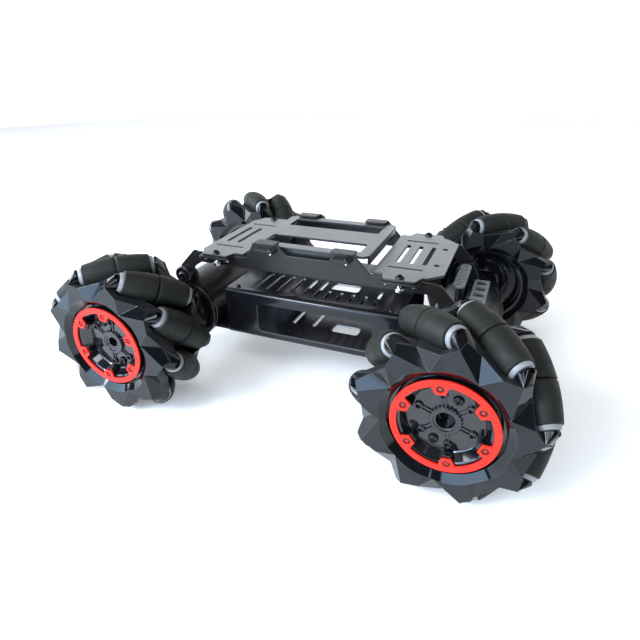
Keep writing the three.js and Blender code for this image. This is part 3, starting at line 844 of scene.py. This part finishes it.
def rail(node, side):
    """Side rail: upright web, outward flanges below the deck and the raised plate, tab lips."""
    reach = lambda a, b: sorted((side * a, side * b))
    top = low_high(node)[1].z
    sheets = [upright_sheet(node, rounded(RAIL_OUTLINE[::-1], 2.2),
                            *reach(RAIL_FACE - SHEET, RAIL_FACE), RAIL, 0.3)]
    for span in FLANGE_SPANS:
        sheets.append(strip("flange", *span, *reach(RAIL_FACE - 1, 43), FLANGE_TOP - SHEET,
                            FLANGE_TOP, RAIL, 2))
    for span in SMALL_FLANGE_SPANS:
        sheets.append(strip("flange", *span, *reach(RAIL_FACE - 1, 42), SMALL_FLANGE_TOP - SHEET,
                            SMALL_FLANGE_TOP, RAIL, 1.5))
    for span in TAB_SPANS:
        sheets.append(strip("tab_lip", *span, *reach(29, RAIL_FACE - 0.2), top - SHEET,
                            top - 0.02, RAIL))
    piece(f"{node}_sheet", fused(node, *sheets), "chassis", "rail_metal", replaces=(node,))


def tray():
    """Belly tray: folded sheet with slots above, openings below and a long window in each side."""
    node = "belly_tray"
    low, high = low_high(node)
    outer = box(low.y, high.y, low.z, high.z)
    inner = box(low.y + SHEET, high.y - SHEET, low.z + SHEET, high.z - SHEET)
    mesh = sheet_metal(node, rounded(outer, 3.4, 10), [rounded(inner, 2, 8)], low.x, high.x,
                       TRAY, 0.2)
    mesh.transform(Matrix(((0, 0, 1), (1, 0, 0), (0, 1, 0))).to_4x4())
    top, bottom = (high.z - SHEET - 1, high.z + 1), (low.z - 1, low.z + SHEET + 1)
    cuts = [(obround(x - 1.2, x + 1.2, -13, 13), bottom) for x in BOTTOM_SLOTS]
    slots = [(x, 5) for x in LONG_SLOTS] + [(x, 18.5) for x in SHORT_SLOTS] + [(END_SLOT, 9)]
    for x, near in slots:
        cuts += [(obround(x - 1.25, x + 1.25, *span), top) for span in ((near, 30), (-30, -near))]
    for span in ((-15, -5), (5, 15)):
        opening = rounded(box(8.5, 27, *span), 2.5)
        cuts += [(opening, top), (opening, bottom)]
    cutter = Shape()
    for outline, depth in cuts:
        cutter.join(prism(outline, *depth, mark=1))
    window = rounded(box(-34, 44, low.z + 5, high.z - 7.5), 3)
    side_cut = prism(window, low.y - 1, high.y + 1, 1).mesh("window")
    side_cut.transform(turn(90, "X"))
    # the cut walls of the slots and window take the light grey: a painted highlight along their edges
    mesh.materials.append(TRAY_CUT_HIGHLIGHT)
    mesh = softened(carved(carved(mesh, cutter.mesh("slots")), side_cut), 0.18, 40, 2)
    piece("belly_tray_sheet", mesh, "chassis", "tray_metal", replaces=(node,))


def axle_tube(node, side):
    """Axle tube with rims and grooves, open at both ends, along Y."""
    steps = [(TUBE_R - 0.5, 0), (TUBE_R, 0.5), (TUBE_R, 2.2), (TUBE_R - 0.8, 2.6),
             (TUBE_R - 0.8, 4), (TUBE_R - 0.2, 4.4)]
    profile = [(r, y - TUBE_HALF) for r, y in [(MOTOR_R + 0.4, 0), *steps]]
    profile += [(r, -y) for r, y in reversed(profile)]
    tube = lathe(profile, 96, closed=True).mesh(node, AXLE, smooth=40)
    tube.transform(metres(move(side * AXLE_AT[0], 0, AXLE_AT[1]) @ turn(-90, "X")))
    return tube


def axle(node, side):
    """Axle tube with the ears that the rails are bolted to, and its foot below the tray."""
    parts = [axle_tube(node, side)]
    ear = [(80, 52), (100, 52), (94, 70), (91.5, 75), (84.5, 75), (81, 70)]
    ear = rounded([(side * x, z) for x, z in ear], 2.5)
    for y in (-34.8, 31.8):
        parts.append(upright_sheet("ear", ear, y, y + 3, AXLE, 0.4))
    floor = low_high("belly_tray")[0].z
    parts.append(strip("foot", *sorted((side * 50, side * 76)), -30, 30, floor - 3.3,
                       floor - 0.3, AXLE, 3))
    piece(f"{node}_tube", fused(node, *parts), "chassis", "axle_metal", replaces=(node,))


def port_strip():
    """Row of four connector ports and the ribbed clamp bar above the front axle."""
    strip_top, bar_top = 70, 79.6
    outline = (94.6, 103.8, -19, 19)
    body = block(*outline, 58, strip_top - 1.2).mesh("ports", AXLE)
    body = softened(body, 0.4, 30, 2)
    pitch, half_port = 9.2, 2.8
    middles = [(i - 1.5) * pitch for i in range(4)]
    cuts = [rounded(box(96.4, 102, y - half_port, y + half_port), 0.5, 2) for y in middles]
    top = sheet_metal("port_top", rounded(box(*outline), 1), cuts, strip_top - 2.6, strip_top,
                      PORT, 0.25)
    pins = Shape()
    for y in middles:
        for dy in (-1.2, 0, 1.2):
            pins.join(block(98.6, 99.1, y + dy - 0.2, y + dy + 0.2, strip_top - 3,
                            strip_top - 0.8))
        pins.join(block(96.9, 97.8, y - 1.8, y + 1.8, strip_top - 3, strip_top - 0.5))
    piece("port_strip", fused("port_strip", body, top, pins.mesh("port_pins", SCREW)),
          "chassis", "axle_metal")
    outline = rounded(mirror_y([(85.3, -16), (87, -18.2), (90.2, -18.2), (91.9, -16)]), 1.6)
    bar = sheet_metal("bar", outline, [obround(87, 90.2, y - 1.2, y + 1.2) for y in (-15, 15)],
                      bar_top - 1.6, bar_top, PORT, 0.3)
    ribs = Shape()
    for i in range(7):
        y = (i - 3) * 3.6
        ribs.join(block(86.2, 91, y - 0.5, y + 0.5, bar_top - 0.3, bar_top + 0.35))
    post = lathe([(0, 56), (2.6, 56), (2.6, bar_top - 1.7), (0, bar_top - 1.7)], 24)
    post = post.mesh("post", AXLE)
    posts = [placed(post, move(88.6, y, 0)) for y in (-9, 9)]
    ribbing = softened(ribs.mesh("ribs", PORT), 0.2, 30, 2)
    piece("clamp_bar", fused("clamp_bar", bar, ribbing, *posts), "chassis", "axle_metal")


def motor(corner):
    """Gearmotor: can, grooved gearbox, face screws, output boss and shaft."""
    node = f"{corner}_motor"
    centre = Vector(JOINTS[f"{corner}_wheel_spin"]["pos_m"]) / MM
    outward = turn(-90 * math.copysign(1, centre.y), "X")
    inwards, down = MOTOR_SHIFT
    body = move(centre.x - math.copysign(inwards, centre.x), 0, centre.z - down) @ outward
    can = lathe([(0, 4.5), (15, 4.5), (17, 5.5), (17.4, 7), (17.4, 40), (MOTOR_R, 40.3),
                 (MOTOR_R, 44), (17.7, 44.4), (17.7, 45.4), (MOTOR_R, 45.8), (MOTOR_R, 51),
                 (17.9, 51.3), (17.9, 52), (MOTOR_R, 52.3), (MOTOR_R, CAN_FACE - 0.8),
                 (MOTOR_R - 0.8, CAN_FACE), (8, CAN_FACE), (7.4, CAN_FACE - 0.5),
                 (0, CAN_FACE - 0.5)], 72).mesh("can", MOTOR, smooth=32)
    can.transform(metres(body))
    nose = lathe([(0, 58), (6, 58), (6, 64.4), (5.4, 65), (3.2, 65), (3, 64.6), (3, 80.4),
                  (2.6, 80.9), (0, 80.9)], 36).mesh("nose", STEEL)
    nose.transform(metres(move(centre.x, 0, centre.z) @ outward))
    head = socket_screw(1.6, 1.0, SCREW)
    heads = [placed(head, body @ move(*polar(30 + i * 60, 14.6, CAN_FACE))) for i in range(6)]
    piece(f"{corner}_gearmotor", fused(node, can, nose, *heads), "chassis", "motor_metal",
          replaces=(node,))


def fasteners():
    """Deck, flange and tray screws with their nuts, and the rail bolts on their bosses."""
    deck_top = low_high("front_deck_plate")[1].z
    tray_top = low_high("belly_tray")[1].z
    screw = socket_screw(2.7, 1.7, SCREW)
    small = socket_screw(1.7, 1.1, SCREW)
    bolt = socket_screw(3.1, 2.2, SCREW)
    bright_nut = softened(nut(2.9, 2.3, 1.4).mesh("nut", STEEL), 0.3, 30, 2)
    shank = lathe([(0, 0), (1.2, 0), (1.45, 0.3), (1.45, 6.6), (0, 6.6)], 20).mesh("shank", STEEL)
    tip = lathe([(0, 0), (0.7, 0), (1.25, 0.5), (1.25, 1.8), (0, 1.8)], 18).mesh("tip", STEEL)
    boss = lathe([(0, 0), (5.9, 0), (5.9, 3.4), (5.3, 4), (4.2, 4), (4, 3.4), (0, 3.4)], 48)
    boss = boss.mesh("boss", AXLE)
    copies = []
    for side in (-1, 1):
        y = side * SCREW_Y
        for x in DECK_SCREW_X:
            copies += [placed(screw, move(x, y, deck_top)), placed(shank, move(x, y, 80.6)),
                       placed(bright_nut, move(x, y, 81.2))]
            copies += [placed(tip, move(x + dx, y, 84)) for dx in (-7.8, 8.2)]
        for x in FLANGE_SCREW_X:
            copies += [placed(small, move(x, y, SMALL_FLANGE_TOP)),
                       placed(tip, move(x, y, SMALL_FLANGE_TOP - 3.2))]
        for x in TRAY_SCREW_X:
            copies.append(placed(small, move(x, side * TRAY_SCREW_Y, tray_top)))
        for x in (-RAIL_BOLT[0], RAIL_BOLT[0]):
            outward = move(x, side * RAIL_FACE, RAIL_BOLT[1]) @ turn(-90 * side, "X")
            copies += [placed(boss, outward), placed(bolt, outward @ move(0, 0, 3.4))]
    piece("fasteners", fused("fasteners", *copies), "chassis", "rail_metal")


def make_chassis():
    end_plate("front_deck_plate", 1, 8, (52, 60, 68), ((75, -14.5), (75, 14.5)))
    end_plate("rear_deck_plate", -1, 1.5, (57.5, 65.6), ())
    raised_plate()
    rail("right_side_rail", -1)
    rail("left_side_rail", 1)
    tray()
    axle("front_axle_housing", 1)
    axle("rear_axle_housing", -1)
    port_strip()
    for corner in CORNERS:
        motor(corner)
    fasteners()


# ---- stage --------------------------------------------------------------------------------
CAMERA_AT = (116.2, -282.8, 194.7)
CAMERA_AZIMUTH, CAMERA_ELEVATION, CAMERA_ROLL = 23.33, 24.81, -1.29
LENS, SENSOR = 27.46, 36
SHIFT = (0.001, -0.042)
FLOOR_R, BEND_R, WALL_TOP = 2200, 900, 2400  # flat floor, its upward curve, top of the wall
SCREEN_SCALE = 0.98       # dark screen, just inside the wall
SCREEN_FOOT, SCREEN_BACK = 40, 700           # lowest height and furthest Y of its faces
PALE, DARK = (0.9, 0.9, 0.905), (0.12, 0.12, 0.122)
LIGHT_AIM = (0, 0, 0.05)
LIGHTS = (                # name, place in metres, size, watts, colour
    ("window_front_left", (-0.68, -1.05, 0.54), (1.6, 0.86), 33, (0.5, 0.72, 1)),
    ("window_left", (-1.45, -0.1, 0.62), (0.9, 1.0), 22, (0.92, 0.96, 1)),
    ("key", (-0.57, -1.0, 0.87), (0.45, 0.3), 13, (0.95, 0.98, 1)),
    ("overhead", (-0.1, -0.95, 1.25), (0.9, 0.4), 6, (1, 0.98, 0.94)),
    ("right_high", (0.76, -0.73, 1.13), (0.5, 0.4), 5, (0.85, 0.93, 1)))


def make_camera():
    """The photo's camera: its place in millimetres, angles, roll, lens and shift."""
    data = bpy.data.cameras.new("camera")
    data.lens, data.sensor_width = LENS, SENSOR
    data.shift_x, data.shift_y = SHIFT
    data.clip_start = 0.01
    camera = bpy.data.objects.new("camera", data)
    bpy.context.scene.collection.objects.link(camera)
    aim = turn(CAMERA_AZIMUTH) @ turn(90 - CAMERA_ELEVATION, "X") @ turn(CAMERA_ROLL)
    camera.matrix_world = metres(move(*CAMERA_AT) @ aim)
    bpy.context.scene.camera = camera


def area_light(name, at, size, energy, color):
    """A soft rectangular light, turned towards the object."""
    data = bpy.data.lights.new(name, "AREA")
    data.shape = "RECTANGLE"
    data.size, data.size_y = size
    data.energy = energy
    data.color = color
    light = bpy.data.objects.new(name, data)
    bpy.context.scene.collection.objects.link(light)
    light.location = at
    away = Vector(LIGHT_AIM) - Vector(at)
    light.rotation_euler = away.to_track_quat("-Z", "Y").to_euler()


def stage_surface(name, colour, glow):
    """Matt backdrop material that also gives off a little light, so that it stays pale."""
    material = surface(name, colour, 0.6, 0.0, 400, 0.01, 3, 0.02)
    shader = material.node_tree.nodes["Principled BSDF"]
    shader.inputs["Emission Color"].default_value = (1, 1, 1, 1)
    shader.inputs["Emission Strength"].default_value = glow
    return material


def stage_piece(name, shape, *materials):
    piece = bpy.data.objects.new(name, shape.mesh(name, *materials, smooth=60))
    bpy.context.scene.collection.objects.link(piece)
    return piece


def bowl(scale):
    """Flat floor that curves up into a wall on every side, and the middle of each of its faces."""
    rise = [(0, 0), (FLOOR_R, 0)]
    rise += [(FLOOR_R + BEND_R * math.sin(a), BEND_R - BEND_R * math.cos(a)) for a in
             (math.radians(d) for d in range(10, 91, 10))]
    rise.append((FLOOR_R + BEND_R, WALL_TOP))
    shape = lathe([(r * scale, z * scale) for r, z in rise], 96)
    return shape, [sum((shape.verts[v] for v in f), Vector()) / len(f) for f in shape.faces]


def make_stage():
    """Pale floor and backdrop, with a dark screen inside the near walls.

    The screen shows in reflections only, not to the camera."""
    floor, middles = bowl(1)
    for i, middle in enumerate(middles):
        floor.marks[i] = int(middle.z > 5)
    stage_piece("floor", floor, stage_surface("stage_pale", PALE, 0.22),
                stage_surface("stage_wall", PALE, 0.6))
    screen, middles = bowl(SCREEN_SCALE)
    screen.faces = [face for face, middle in zip(screen.faces, middles)
                    if middle.z > SCREEN_FOOT and middle.y < SCREEN_BACK]
    screen.marks = [0] * len(screen.faces)
    dark = stage_surface("stage_shade", DARK, 0)
    stage_piece("dark_screen", screen, dark).visible_camera = False


def make_lights():
    """Area lights, a faint wide sun and a dim pale world."""
    for light in LIGHTS:
        area_light(*light)
    sun = bpy.data.lights.new("sky", "SUN")
    sun.energy, sun.angle = 0.3, math.radians(60)
    sky = bpy.data.objects.new("sky", sun)
    bpy.context.scene.collection.objects.link(sky)
    sky.rotation_euler = (math.radians(-8), math.radians(-22), 0)
    world = bpy.data.worlds.new("world")
    world.use_nodes = True
    background = world.node_tree.nodes["Background"]
    background.inputs["Color"].default_value = (0.93, 0.97, 1, 1)
    background.inputs["Strength"].default_value = 0.15
    bpy.context.scene.world = world
    bpy.context.scene.view_settings.view_transform = "Standard"


def dress_cad_nodes():
    """Finishes of the CAD nodes that stay shown."""
    finishes = {"deck_metal": DECK, "rail_metal": RAIL, "tray_metal": TRAY, "axle_metal": AXLE,
                "motor_metal": MOTOR, "shell_plastic": MATTE, "red_plastic": RED, "rubber": RUBBER}
    for part in frame["record"]["subparts"]:
        mesh = frame["nodes"][part["node"]].data
        mesh.materials.clear()
        mesh.materials.append(finishes[part["material_slot"]])


make_camera()
make_stage()
make_lights()
dress_cad_nodes()
make_wheels()
make_chassis()
